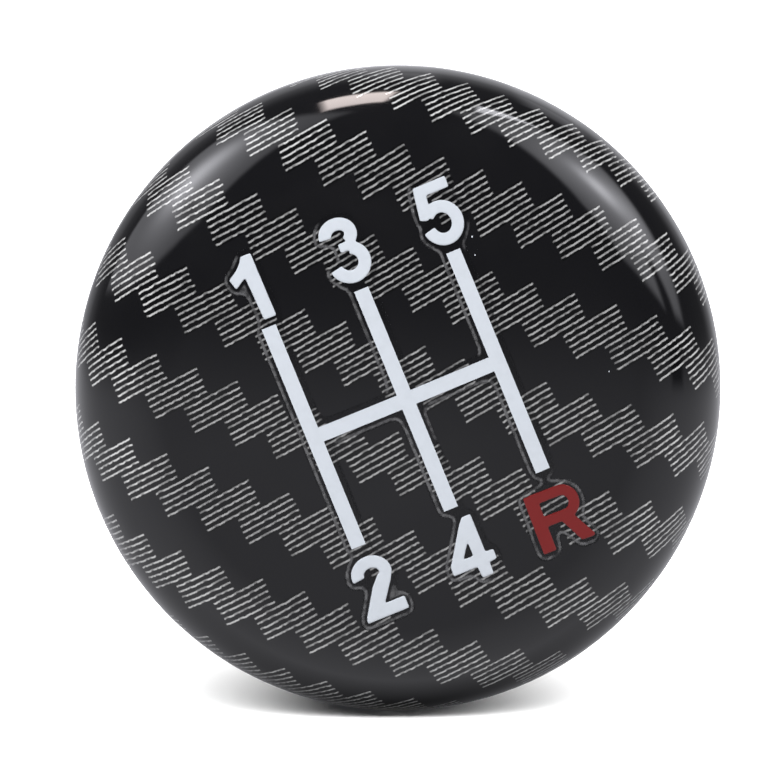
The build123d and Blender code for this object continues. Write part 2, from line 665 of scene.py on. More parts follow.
def arc(centre: Pair, radii: Pair, start: float, end: float, steps: int) -> Line:
    """Points along an arc.

    Args:
        centre: Middle of the arc.
        radii: Its radius along each axis.
        start: First direction in degrees.
        end: Last direction in degrees.
        steps: Number of straight steps.

    Returns:
        The points, both ends among them.
    """
    turns = [math.radians(start + (end - start) * step / steps) for step in range(steps + 1)]
    return [(centre[0] + radii[0] * math.cos(a), centre[1] + radii[1] * math.sin(a)) for a in turns]


def run_nodes(piece: bpy.types.Object, tree: bpy.types.NodeTree, values: dict[str, object]) -> bpy.types.Mesh:
    """Runs a Geometry Nodes tree on an object and gives its result as a plain mesh.

    Args:
        piece: The object whose mesh the tree starts from. It is removed.
        tree: The tree.
        values: Values of the tree's named inputs.

    Returns:
        The finished mesh.
    """
    modifier = piece.modifiers.new(tree.name, "NODES")
    modifier.node_group = tree
    for item in tree.interface.items_tree:
        if item.in_out == "INPUT" and item.name in values:
            modifier[item.identifier] = values[item.name]
    bpy.context.view_layer.update()
    graph = bpy.context.evaluated_depsgraph_get()
    mesh = bpy.data.meshes.new_from_object(piece.evaluated_get(graph))
    piece.modifiers.remove(modifier)
    bpy.data.objects.remove(piece)
    return mesh


def new_tree(name: str, inputs: dict[str, str]) -> tuple[Graph, bpy.types.Node]:
    """A Geometry Nodes tree that takes and gives a geometry.

    Args:
        name: Name of the tree.
        inputs: Socket type of each further input, by name.

    Returns:
        The tree's graph and its input node.
    """
    tree = bpy.data.node_groups.new(name, "GeometryNodeTree")
    geometry = {"Geometry": "NodeSocketGeometry"}
    add_sockets(tree, "INPUT", geometry | inputs)
    add_sockets(tree, "OUTPUT", geometry)
    graph = Graph(tree)
    return graph, graph.node("NodeGroupInput")


def sweep(graph: Graph, path: Socket, sides: int, half: tuple[Socket, Socket], capped: bool) -> Socket:
    """Runs a section along a curve, level with the ground.

    Args:
        graph: The tree's graph.
        path: The curve.
        sides: Corners of the section.
        half: Half its width and half its height.
        capped: Closes the ends.

    Returns:
        The swept mesh.
    """
    level = graph.node("GeometryNodeSetCurveNormal", {"Curve": path}, mode="Z_UP").outputs[0]
    ring = graph.node("GeometryNodeCurvePrimitiveCircle", {"Resolution": sides, "Radius": 1.0}).outputs[0]
    size = graph.combine(*half, 1.0)
    section = graph.node("GeometryNodeTransform", {"Geometry": ring, "Scale": size}).outputs[0]
    inputs = {"Curve": level, "Profile Curve": section, "Fill Caps": capped}
    return graph.node("GeometryNodeCurveToMesh", inputs).outputs[0]


def close_tree(graph: Graph, geometry: Socket, material: Socket) -> None:
    """Ends a Geometry Nodes tree: real geometry, one material, and out.

    Args:
        graph: The tree's graph.
        geometry: What the tree has made.
        material: Its material.
    """
    real = graph.node("GeometryNodeRealizeInstances", {0: geometry}).outputs[0]
    dressed = graph.node("GeometryNodeSetMaterial", {"Geometry": real, "Material": material}).outputs[0]
    graph.node("NodeGroupOutput", {0: dressed})


def turn_from(turn: Field, start: float) -> Field:
    """Degrees from one direction to others, the short way round."""
    return (turn - start + 180) % 360 - 180


@dataclass(frozen=True)
class PrintDrag:
    """How one side of the print was drawn over the rim: middle and width in degrees, pull and twist.

    Pull is in metres and twist in radians, for each square metre of the run past the start.
    """

    toward: float
    width: float
    pull: float
    twist: float
    start: float = 0.0158
    limit: float = 0.014

    def at(self, turn: float, run: float) -> Pair:
        """Pull and twist at one place.

        Args:
            turn: Its direction in degrees.
            run: Its distance from the middle of the face, along the surface.

        Returns:
            Metres and radians.
        """
        lobe = math.exp(-((turn_from(turn, self.toward) / self.width) ** 4))
        past = min(max(run - self.start, 0.0), self.limit)
        return self.pull * lobe * past**2, self.twist * lobe * past**2


@dataclass
class KnobHead:
    """Moulded head: crown, rim, palm, waist and neck, each an arc that runs into the next."""

    radius: float
    top: float
    foot: float
    crown_radius: float = 0.095
    rim_radius: float = 0.0094
    palm_radius: float = 0.028
    waist_radius: float = 0.018
    neck_radius: float = 0.013
    neck_land: float = 0.0012
    neck_edge: float = 0.0005
    socket_radius: float = 0.0103
    socket_top: float = 0.0286
    print_stretch: float = 59.1
    print_stretch_limit: float = 0.06
    print_drags: tuple[PrintDrag, ...] = (
        PrintDrag(98.0, 44.0, 8.0, 0.0),
        PrintDrag(120.0, 34.0, 0.0, 190.0),
        PrintDrag(245.0, 55.0, 2.0, -168.0),
    )
    arc_steps: tuple[int, ...] = (22, 30, 20, 18, 6)
    segments: int = 288

    @classmethod
    def from_frame(cls) -> "KnobHead":
        """The head at the size of its solid."""
        low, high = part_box("knob_head")
        return cls(radius=high.x, top=high.z, foot=low.z)

    @property
    def crown_centre(self) -> float:
        """Height of the middle of the crown's arc."""
        return self.top - self.crown_radius

    @property
    def neck_foot(self) -> float:
        """Height where the waist's arc meets the straight neck."""
        return self.foot + self.neck_edge + self.neck_land

    @property
    def widest(self) -> float:
        """Height of the widest point.

        Returns:
            The height in metres.
        """
        reach = self.palm_radius + self.waist_radius
        step = self.radius - self.neck_radius
        return self.neck_foot + math.sqrt(2 * reach * step - step**2)

    def face_height(self, x: Field, y: Field) -> Field:
        """Height of the crown over a point of the face."""
        return self.crown_centre + np.sqrt(self.crown_radius**2 - x**2 - y**2)

    def outline(self) -> Line:
        """Half section of the head, from the middle of the face to the top of the socket.

        Returns:
            Points as (radius, height).
        """
        rim_at = self.radius - self.rim_radius
        palm_at = self.radius - self.palm_radius
        waist = (self.neck_radius + self.waist_radius, self.neck_foot)
        edge = (self.neck_radius - self.neck_edge, self.foot + self.neck_edge)
        tip = 90 - math.degrees(math.asin(rim_at / (self.crown_radius - self.rim_radius)))
        turn = math.degrees(math.atan2(waist[1] - self.widest, waist[0] - palm_at))
        bows = (
            ((0.0, self.crown_centre), self.crown_radius, 90, tip),
            ((rim_at, self.widest), self.rim_radius, tip, 0),
            ((palm_at, self.widest), self.palm_radius, 0, turn),
            (waist, self.waist_radius, turn + 180, 180),
        )
        points = [(0.0, self.top)]
        for (centre, radius, start, end), steps in zip(bows, self.arc_steps):
            points += arc(centre, (radius, radius), start, end, steps)[1:]
        points += arc(edge, (self.neck_edge, self.neck_edge), 0, -90, self.arc_steps[-1])
        socket = self.socket_radius
        return points + [(socket, self.foot), (socket, self.socket_top), (0.0, self.socket_top)]

    def print_place(self, point: Vector, run: float) -> Pair:
        """Where a point of the head lies on the print map.

        Args:
            point: The point.
            run: Its distance from the middle of the face, along the surface.

        Returns:
            Its place on the map.
        """
        turn = math.atan2(point.y, point.x)
        drags = [drag.at(math.degrees(turn), run) for drag in self.print_drags]
        stretch = self.print_stretch * min(run, self.print_stretch_limit) ** 2
        out = run * (1 - stretch) - sum(pull for pull, _ in drags)
        turn += sum(twist for _, twist in drags)
        share = out / PRINT_MAP_SPAN
        return 0.5 + share * math.cos(turn), 0.5 + share * math.sin(turn)

    def build(self, finish: CarbonPrint) -> bpy.types.Object:
        """Makes the head and its print map, which stretches as it runs out from the middle of the face.

        Args:
            finish: The printed finish.

        Returns:
            The head.
        """
        outline = self.outline()
        work = lathe(outline, self.segments)
        steps = [math.dist(a, b) for a, b in zip(outline, outline[1:])]
        work.verts.index_update()
        reach = {}
        index = 0
        for row, (radius, _) in enumerate(outline):
            count = self.segments if radius > ON_AXIS else 1
            reach.update(dict.fromkeys(range(index, index + count), sum(steps[:row])))
            index += count
        layer = work.loops.layers.uv.new(PRINT_MAP)
        for face in work.faces:
            for loop in face.loops:
                loop[layer].uv = self.print_place(loop.vert.co, reach[loop.vert.index])
        return new_piece("moulded_head", mesh_from(work, "moulded_head"), finish.material())


def mix(first: float | Field, second: float | Field, share: Field) -> Field:
    """A value between two others, by a share from 0 to 1."""
    return first + (second - first) * share


def soft_step(value: Field, low: float | Field, high: float | Field) -> Field:
    """A smooth rise from 0 to 1 between two values."""
    share = np.clip((value - low) / (high - low), 0, 1)
    return share * share * (3 - 2 * share)


def stroke(x: Field, y: Field, points: Line, width: float) -> Field:
    """Distance to a line of even width with square ends.

    Args:
        x: First coordinate of the grid.
        y: Second coordinate of the grid.
        points: The line.
        width: Its width.

    Returns:
        The distance, below zero inside.
    """
    best = np.full(x.shape, np.inf)
    for start, end in zip(points, points[1:]):
        length = math.dist(start, end)
        aim = ((end[0] - start[0]) / length, (end[1] - start[1]) / length)
        dx = x - (start[0] + end[0]) / 2
        dy = y - (start[1] + end[1]) / 2
        past = np.abs(dx * aim[0] + dy * aim[1]) - length / 2
        aside = np.abs(dy * aim[0] - dx * aim[1]) - width / 2
        outer = np.hypot(np.maximum(past, 0), np.maximum(aside, 0))
        best = np.minimum(best, outer + np.minimum(np.maximum(past, aside), 0))
    for knee in points[1:-1]:
        disc = np.hypot(x - knee[0], y - knee[1]) - width / 2
        for end, before in ((points[0], points[1]), (points[-1], points[-2])):
            if math.dist(knee, end) < width:
                length = math.dist(end, before)
                aim = ((end[0] - before[0]) / length, (end[1] - before[1]) / length)
                disc = np.maximum(disc, (x - end[0]) * aim[0] + (y - end[1]) * aim[1])
        best = np.minimum(best, disc)
    return best


def patch(x: Field, y: Field, points: Line) -> Field:
    """Distance to the edge of a closed outline.

    Args:
        x: First coordinate of the grid.
        y: Second coordinate of the grid.
        points: Corners of the outline.

    Returns:
        The distance, below zero inside.
    """
    far = np.full(x.shape, np.inf)
    inside = np.zeros(x.shape, bool)
    for start, end in zip(points, points[1:] + points[:1]):
        run = (end[0] - start[0], end[1] - start[1])
        dx, dy = x - start[0], y - start[1]
        along = np.clip((dx * run[0] + dy * run[1]) / (run[0] ** 2 + run[1] ** 2), 0, 1)
        far = np.minimum(far, np.hypot(dx - along * run[0], dy - along * run[1]))
        spans = (start[1] > y) != (end[1] > y)
        rise = run[1] if abs(run[1]) > 1e-9 else 1e-9
        inside ^= spans & (dx < run[0] * dy / rise)
    return np.where(inside, -far, far)


@dataclass(frozen=True, eq=False)
class Drawing:
    """A mark in millimetres about its own centre: strokes with their widths, patches, and holes in them.

    It may sit a little askew, by so many degrees.
    """

    strokes: tuple[tuple[Line, float], ...] = ()
    patches: tuple[Line, ...] = ()
    holes: tuple[Line, ...] = ()
    askew: float = 0.0

    def distance(self, x: Field, y: Field) -> Field:
        """Distance to the edge of the mark.

        Args:
            x: First coordinate of the grid.
            y: Second coordinate of the grid.

        Returns:
            The distance, below zero inside.
        """
        turn = math.radians(self.askew)
        x, y = x * math.cos(turn) - y * math.sin(turn), x * math.sin(turn) + y * math.cos(turn)
        shapes = [stroke(x, y, line, width) for line, width in self.strokes]
        shapes += [patch(x, y, corners) for corners in self.patches]
        cuts = [-patch(x, y, corners) for corners in self.holes]
        return np.max([np.min(shapes, axis=0), *cuts], axis=0)


ONE_POST = [(-0.1, -2.46), (0.9, -2.46), (0.86, 2.68), (0.03, 2.68)]
ONE_FLAG = [(-0.2, 2.28), (-0.65, 1.82), (-1.44, 1.34), (-1.2, 0.45), (-0.7, 0.78), (-0.24, 1.05)]
TWO_BOW = arc((0.12, 1.1), (1.1, 0.95), 190, -18, 28)
TWO_FOOT = [(1.85, -1.42), (1.85, -2.45), (-1.6, -2.47), (-1.46, -1.95)]
TWO_LIMB = [(-0.2, 0.08), (0.58, 0.95), (1.66, 0.8), (1.33, 0.15), (0.24, -1.42)]
THREE_UPPER = arc((-0.08, 1.38), (1.02, 0.84), 181, -62, 28)
THREE_LOWER = arc((0.0, -0.87), (1.16, 1.12), 70, -173, 32)
THREE_TONGUE = [(-0.36, 0.36), (0.5, 0.36)]
FOUR_POST = [(0.1, 2.1), (0.5, 2.58), (1.22, 2.58), (1.22, -0.6)]
FOUR_STUB = [(1.87, -0.64), (1.84, -1.44), (1.22, -1.5), (1.2, -2.44)]
FOUR_ARM = [(0.26, -2.44), (0.22, -1.5), (-1.75, -1.5), (-1.72, -0.74)]
FOUR_EYE = [(0.22, 0.62), (0.22, -0.55), (-0.58, -0.55)]
FIVE_FLAG = [(-1.08, 2.55), (1.62, 2.55), (1.58, 1.66), (-0.28, 1.68)]
FIVE_NECK = [(-0.4, 0.95), (-0.42, 0.1), (-0.95, -0.15), (-1.48, 0.06)]
FIVE_BOWL = arc((0.08, -0.7), (1.18, 1.27), 142, -171, 32)
REVERSE_STEM = [(-2.33, 2.2), (-1.27, 2.2), (-1.21, -2.52), (-2.27, -2.52)]
REVERSE_LOOP = [(-1.87, 1.8)] + arc((0.44, 0.83), (0.92, 0.97), 90, -90, 18) + [(-1.87, -0.14)]
REVERSE_LEG = [(-0.21, -0.3), (0.93, -0.3), (2.06, -2.4), (1.88, -2.52), (0.9, -2.5)]


class Gear(Enum):
    """Marks of the gate, with the column, the height of the centre and the drawing of each."""

    FIRST = (-1, 12.22, Drawing(patches=(ONE_POST + ONE_FLAG,)))
    SECOND = (-1, -12.61, Drawing(((TWO_BOW, 0.98),), (TWO_FOOT + TWO_LIMB,)))
    THIRD = (0, 12.25, Drawing(((THREE_UPPER, 0.98), (THREE_LOWER, 1.0), (THREE_TONGUE, 0.7))))
    FOURTH = (0, -12.65, Drawing(patches=(FOUR_POST + FOUR_STUB + FOUR_ARM,), holes=(FOUR_EYE,)))
    FIFTH = (1, 12.15, Drawing(((FIVE_BOWL, 0.96),), (FIVE_FLAG + FIVE_NECK,)))
    REVERSE = (1, -12.83, Drawing(((REVERSE_LOOP, 0.86),), (REVERSE_STEM, REVERSE_LEG), askew=1.8))


@dataclass
class Transfer:
    """What is printed beside the gate: figures, reverse letter, stray specks and the clear film round them.

    Sizes of the drawing are in millimetres, as its points are. A speck is given as (across, along, radius).
    A pale band is painted along the film's cut edge: partly residue, partly a painted highlight on the edges
    that face one side. It is paler in some spots and in a few nooks, which are given as (across, along,
    reach, level).
    """

    head: KnobHead
    gate_spacing: float = 7.65
    gate_throw: float = 18.3
    gate_line: float = 1.15
    grid_step: float = 0.065
    mark_reach: float = 3.0
    sharp_over: float = 60.0
    ink_thickness: float = 0.05
    ink_roll: float = 0.16
    specks: tuple[Triple, ...] = (
        (9.43, 9.59, 0.11),
        (9.42, 8.55, 0.085),
        (9.1, 8.2, 0.1),
        (-8.95, -12.9, 0.08),
        (1.7, 13.75, 0.07),
        (15.25, -4.09, 0.1),
    )
    film_low: Pair = (-11.4, -16.4)
    film_high: Pair = (11.4, 16.2)
    film_margin: float = 0.47
    film_thickness: float = 0.018
    film_shift: Pair = (-0.03, -0.05)
    film_step: float = 0.08
    film_rounding: int = 53
    pale_band_start: Pair = (0.0, 0.09)
    pale_band_fade: Pair = (0.21, 0.35)
    # Edges that face this way in the face's plane get the painted edge highlight.
    sheen_facing: Pair = (-0.92, -0.4)
    sheen_facing_run: Pair = (-0.1, 0.6)
    pale_spots: tuple[Spot, ...] = (
        (7.8, -12.8, 4.0, 0.9),
        (-5.6, -14.4, 1.5, 0.9),
        (1.2, -2.4, 1.6, 0.7),
        (9.3, 9.7, 1.4, 0.5),
    )
    pale_nooks: tuple[Spot, ...] = ((-8.2, 12.2, 0.9, 0.8), (-6.5, -13.7, 0.9, 0.8))
    pale_nook_run: Pair = (0.12, 0.3)
    spot_core: float = 0.6
    bead_width: float = 0.16
    bead_height: float = 0.03
    bead_spacing: float = 0.09
    bead_sides: int = 8
    sink: float = 0.012

    def grid(self, low: Pair, high: Pair, step: float) -> tuple[Field, Field]:
        """A square grid over part of the face.

        Args:
            low: Lowest corner.
            high: Highest corner.
            step: Distance between two points.

        Returns:
            First and second coordinate of each point.
        """
        across = np.arange(low[0], high[0], step)
        along = np.arange(low[1], high[1], step)
        return tuple(np.meshgrid(across, along))

    def soften(self, field: Field, rounds: int = 3) -> Field:
        """Rounds the corners of a drawing by averaging neighbours.

        Args:
            field: Distance to the drawing.
            rounds: How many times.

        Returns:
            The softer distance.
        """
        for _ in range(rounds):
            wide = np.pad(field, 1, mode="edge")
            field = (wide[:-2, 1:-1] + wide[2:, 1:-1] + wide[1:-1, :-2] + wide[1:-1, 2:] + 2 * field) / 6
        return field

    def sheet(self, x: Field, y: Field, field: Field, level: float) -> bmesh.types.BMesh:
        """Cuts the part of a grid where a drawing is below a level.

        Args:
            x: First coordinate of the grid.
            y: Second coordinate of the grid.
            field: Distance to the drawing.
            level: Where the cut runs.

        Returns:
            A flat work mesh in millimetres, whose heights are the distances.
        """
        rows, columns = x.shape
        number = np.arange(rows * columns).reshape(rows, columns)
        corners = np.stack([number[:-1, :-1], number[:-1, 1:], number[1:, 1:], number[1:, :-1]], axis=-1)
        near = field.ravel()[corners].min(axis=-1) < level
        faces = corners[near]
        used, again = np.unique(faces, return_inverse=True)
        points = np.stack([x.ravel(), y.ravel(), field.ravel()], axis=-1)[used]
        mesh = bpy.data.meshes.new("sheet")
        mesh.from_pydata(points.tolist(), [], again.reshape(-1, 4).tolist())
        work = bmesh.new()
        work.from_mesh(mesh)
        bpy.data.meshes.remove(mesh)
        geometry = work.verts[:] + work.edges[:] + work.faces[:]
        level_plane = {"plane_co": (0, 0, level), "plane_no": (0, 0, 1)}
        bmesh.ops.bisect_plane(work, geom=geometry, clear_outer=True, **level_plane)
        bmesh.ops.remove_doubles(work, verts=work.verts[:], dist=0.1 * self.grid_step)
        return work

    def seat(self, x: float, y: float, rise: float) -> Vector:
        """A place on the crown in metres, raised above it, from millimetres."""
        x, y = x * MM, y * MM
        return Vector((x, y, float(self.head.face_height(x, y)) + rise * MM))

    def lay(self, work: bmesh.types.BMesh, rise: Callable[[float], float]) -> None:
        """Makes a flat sheet a closed skin that lies on the crown.

        Args:
            work: The sheet, in millimetres, with distances as heights. It is changed in place, to metres.
            rise: Height of the skin for a distance, in millimetres.
        """
        lower = work.verts[:]
        raised = bmesh.ops.extrude_face_region(work, geom=work.faces[:], use_keep_orig=True)
        upper = [item for item in raised["geom"] if isinstance(item, bmesh.types.BMVert)]
        for verts, lift in ((upper, rise), (lower, lambda distance: -self.sink)):
            for vert in verts:
                vert.co = self.seat(vert.co.x, vert.co.y, lift(vert.co.z))
        bmesh.ops.recalc_face_normals(work, faces=work.faces[:])
        bmesh.ops.triangulate(work, faces=[face for face in work.faces if len(face.verts) > 4])

    def ink_rise(self, distance: float) -> float:
        """Height of the ink at a distance from its edge, rounded at the edge."""
        inward = min(1.0, max(0.0, -distance / self.ink_roll))
        return self.ink_thickness * math.sqrt(1 - (1 - inward) ** 2)

    def centre(self, gear: Gear) -> Pair:
        """Middle of a mark on the face."""
        column, height, _ = gear.value
        return column * self.gate_spacing, height

    def build_ink(self, name: str, gears: list[Gear], specks: bool, finish: TransferInk) -> bpy.types.Object:
        """Makes the marks of one ink.

        Args:
            name: Name of the piece.
            gears: The marks.
            specks: Adds the stray specks.
            finish: The ink.

        Returns:
            The piece.
        """
        drawings = [(self.centre(gear), gear.value[2].distance) for gear in gears]
        for across, along, radius in self.specks if specks else ():
            drawings.append(((across, along), lambda x, y, radius=radius: np.hypot(x, y) - radius))
        whole = bmesh.new()
        far = self.mark_reach
        for (across, along), draw in drawings:
            x, y = self.grid((across - far, along - far), (across + far, along + far), self.grid_step)
            work = self.sheet(x, y, self.soften(draw(x - across, y - along)), 0.0)
            self.lay(work, self.ink_rise)
            part = mesh_from(work, "mark", self.sharp_over)
            whole.from_mesh(part)
            bpy.data.meshes.remove(part)
        return new_piece(name, mesh_from(whole, name, self.sharp_over), finish.material())

    def film_field(self, x: Field, y: Field) -> Field:
        """Distance to everything that the film carries, a little off register as the film was laid.

        Args:
            x: First coordinate of the grid.
            y: Second coordinate of the grid.

        Returns:
            The distance, below zero on the ink.
        """
        x, y = x - self.film_shift[0], y - self.film_shift[1]
        ends = (-self.gate_throw / 2, self.gate_throw / 2)
        lines = [[(column * self.gate_spacing, end) for end in ends] for column in (-1, 0, 1)]
        lines.append([(-self.gate_spacing, 0.0), (self.gate_spacing, 0.0)])
        shapes = [stroke(x, y, line, self.gate_line) for line in lines]
        for gear in Gear:
            across, along = self.centre(gear)
            shapes.append(gear.value[2].distance(x - across, y - along))
        return np.min(shapes, axis=0)

    def inset(self, film: Field) -> Field:
        """How far inside the film's cut edge each point lies, as far as the pale band reaches.

        Args:
            film: Distance to the ink, rounded as the film was cut.

        Returns:
            The distance from the cut edge.
        """
        depth = np.where(film > self.film_margin, 0.0, 1.0)
        steps = [(across, along) for across in (-1, 0, 1) for along in (-1, 0, 1) if across or along]
        for _ in range(round(self.pale_band_fade[1] / self.film_step) + 1):
            moved = [np.roll(depth, step, axis=(0, 1)) + self.film_step * math.hypot(*step) for step in steps]
            depth = np.minimum(depth, np.min(moved, axis=0))
        return depth

    def spread(self, x: Field, y: Field, spots: tuple[Spot, ...]) -> Field:
        """How strongly a point is within one of some soft round places.

        Args:
            x: First coordinate of the grid.
            y: Second coordinate of the grid.
            spots: The places.

        Returns:
            From 0 to the level of the place.
        """
        shares = []
        for across, along, reach, level in spots:
            away = np.hypot(x - across, y - along)
            shares.append(level * (1 - soft_step(away, self.spot_core * reach, reach)))
        return np.max(shares, axis=0)

    def residue_and_edge_sheen(self, x: Field, y: Field, near: Field, film: Field) -> Field:
        """How much of the pale band, residue and painted edge highlight, lies on the film.

        Args:
            x: First coordinate of the grid.
            y: Second coordinate of the grid.
            near: Distance to the ink.
            film: The same, rounded as the film was cut.

        Returns:
            From 0, none, to 1.
        """
        depth = self.inset(film)
        band = soft_step(depth, *self.pale_band_start) * (1 - soft_step(depth, *self.pale_band_fade))
        slope_along, slope_across = np.gradient(film, self.film_step)
        steep = np.hypot(slope_across, slope_along) + 1e-6
        # Painted edge highlight: the edges that face one side are paler.
        facing = (slope_across * self.sheen_facing[0] + slope_along * self.sheen_facing[1]) / steep
        share = np.maximum(soft_step(facing, *self.sheen_facing_run), self.spread(x, y, self.pale_spots))
        nook = soft_step(near, *self.pale_nook_run) * (film < self.film_margin)
        return np.maximum(band * share, nook * self.spread(x, y, self.pale_nooks))

    def build_film(self, finish: ClearFilm) -> list[bpy.types.Object]:
        """Makes the film and its raised cut edge.

        Args:
            finish: The film's finish.

        Returns:
            The film and its edge.
        """
        x, y = self.grid(self.film_low, self.film_high, self.film_step)
        near = self.film_field(x, y)
        film = self.soften(near, self.film_rounding)
        dirt_and_sheen = self.residue_and_edge_sheen(x, y, near, film)
        work = self.sheet(x, y, film, self.film_margin)
        # Each point's share of the pale band: painted edge highlight, partly residue.
        layer = work.verts.layers.float.new(RESIDUE_AND_EDGE_SHEEN)
        for vert in work.verts:
            column = round((vert.co.x - self.film_low[0]) / self.film_step)
            row = round((vert.co.y - self.film_low[1]) / self.film_step)
            vert[layer] = float(dirt_and_sheen[row, column])
        rim = bmesh.new()
        seats = {}
        for edge in work.edges:
            if edge.is_boundary:
                for vert in edge.verts:
                    seats[vert] = seats.get(vert) or rim.verts.new(self.seat(vert.co.x, vert.co.y, 0.0))
                rim.edges.new([seats[vert] for vert in edge.verts])
        self.lay(work, lambda distance: self.film_thickness)
        mesh = mesh_from(work, "transfer_film", self.sharp_over)
        sheet = new_piece("transfer_film", mesh, finish.sheet_material())
        line = bpy.data.meshes.new("film_line")
        rim.to_mesh(line)
        rim.free()
        return [sheet, self.build_edge(line, finish.edge_material())]

    def build_edge(self, line: bpy.types.Mesh, material: bpy.types.Material) -> bpy.types.Object:
        """Runs a low rounded bead along the cut edge of the film.

        Args:
            line: Edges of the film, on the crown.
            material: The bead's finish.

        Returns:
            The bead.
        """
        real = "NodeSocketFloat"
        kinds = {"Width": real, "Height": real, "Spacing": real, "Material": "NodeSocketMaterial"}
        graph, entry = new_tree("film_bead", kinds)
        give = entry.outputs
        path = graph.node("GeometryNodeMeshToCurve", {"Mesh": give["Geometry"]}).outputs[0]
        inputs = {"Curve": path, "Length": give["Spacing"]}
        even = graph.node("GeometryNodeResampleCurve", inputs, mode="LENGTH").outputs[0]
        half = graph.math("MULTIPLY", give["Width"], 0.5)
        tube = sweep(graph, even, self.bead_sides, (half, give["Height"]), False)
        smooth = graph.node("GeometryNodeSetShadeSmooth", {0: tube}).outputs[0]
        close_tree(graph, smooth, give["Material"])
        seed = new_piece("film_line", line, material)
        values = {
            "Width": self.bead_width * MM,
            "Height": self.bead_height * MM,
            "Spacing": self.bead_spacing * MM,
            "Material": material,
        }
        return new_piece("transfer_film_edge", run_nodes(seed, graph.tree, values), material)


@dataclass
class ThreadBush:
    """Lever bush: a plain-sided sleeve with a groove for the set screws and a screw thread in its bore."""

    radius: float
    low: float
    high: float
    edge: float = 0.0004
    groove_radius: float = 0.0075
    groove_low: float = 0.0015
    groove_high: float = 0.0075
    thread_root: float = 0.005
    thread_crest: float = 0.00425
    thread_pitch: float = 0.0015
    thread_steps: int = 96
    thread_width: float = 0.48
    thread_margin: float = 0.9
    mouth: float = 0.00535
    segments: int = 128

    @classmethod
    def from_frame(cls) -> "ThreadBush":
        """The bush at the size of its solid."""
        low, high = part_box("thread_bush")
        return cls(radius=high.x, low=low.z, high=high.z)

    def outline(self) -> Line:
        """Section of the sleeve, with its bore at the root of the thread.

        Returns:
            Points as (radius, height), which close on themselves.
        """
        lead = self.mouth - self.thread_root
        outer = [(self.radius - self.edge, self.low), (self.radius, self.low + self.edge)]
        outer += [(self.radius, self.groove_low), (self.groove_radius, self.groove_low)]
        outer += [(self.groove_radius, self.groove_high), (self.radius, self.groove_high)]
        outer += [(self.radius, self.high - self.edge), (self.radius - self.edge, self.high)]
        inner = [(self.mouth, self.high), (self.thread_root, self.high - lead)]
        return outer + inner + [(self.thread_root, self.low + lead), (self.mouth, self.low)]

    def build(self, finish: TurnedMetal) -> bpy.types.Object:
        """Makes the sleeve and winds the thread, a right-hand one, into its bore.

        Args:
            finish: The metal.

        Returns:
            The bush.
        """
        real = "NodeSocketFloat"
        kinds = {"Turns": real, "Root": real, "Crest": real, "Pitch": real, "Start": real}
        graph, entry = new_tree("bore_thread", kinds | {"Material": "NodeSocketMaterial"})
        give = entry.outputs
        inputs = {
            "Resolution": self.thread_steps,
            "Rotations": give["Turns"],
            "Start Radius": give["Root"],
            "End Radius": give["Root"],
            "Height": graph.math("MULTIPLY", give["Turns"], give["Pitch"]),
            "Reverse": True,
        }
        spiral = graph.node("GeometryNodeCurveSpiral", inputs).outputs[0]
        deep = graph.math("SUBTRACT", give["Root"], give["Crest"])
        wide = graph.math("MULTIPLY", give["Pitch"], self.thread_width)
        ridge = sweep(graph, spiral, 4, (deep, wide), True)
        move = graph.combine(0.0, 0.0, give["Start"])
        wound = graph.node("GeometryNodeTransform", {"Geometry": ridge, "Translation": move}).outputs[0]
        joined = graph.node("GeometryNodeJoinGeometry", {0: give["Geometry"]})
        graph.feed(joined.inputs[0], wound)
        close_tree(graph, joined.outputs[0], give["Material"])
        material = finish.material()
        sleeve = new_piece("sleeve", mesh_from(lathe(self.outline(), self.segments), "sleeve"), material)
        margin = self.thread_margin * self.thread_pitch
        values = {
            "Turns": (self.high - self.low - 2 * margin) / self.thread_pitch,
            "Root": self.thread_root,
            "Crest": self.thread_crest,
            "Pitch": self.thread_pitch,
            "Start": self.low + margin,
            "Material": material,
        }
        return new_piece("threaded_bush", run_nodes(sleeve, graph.tree, values), material)


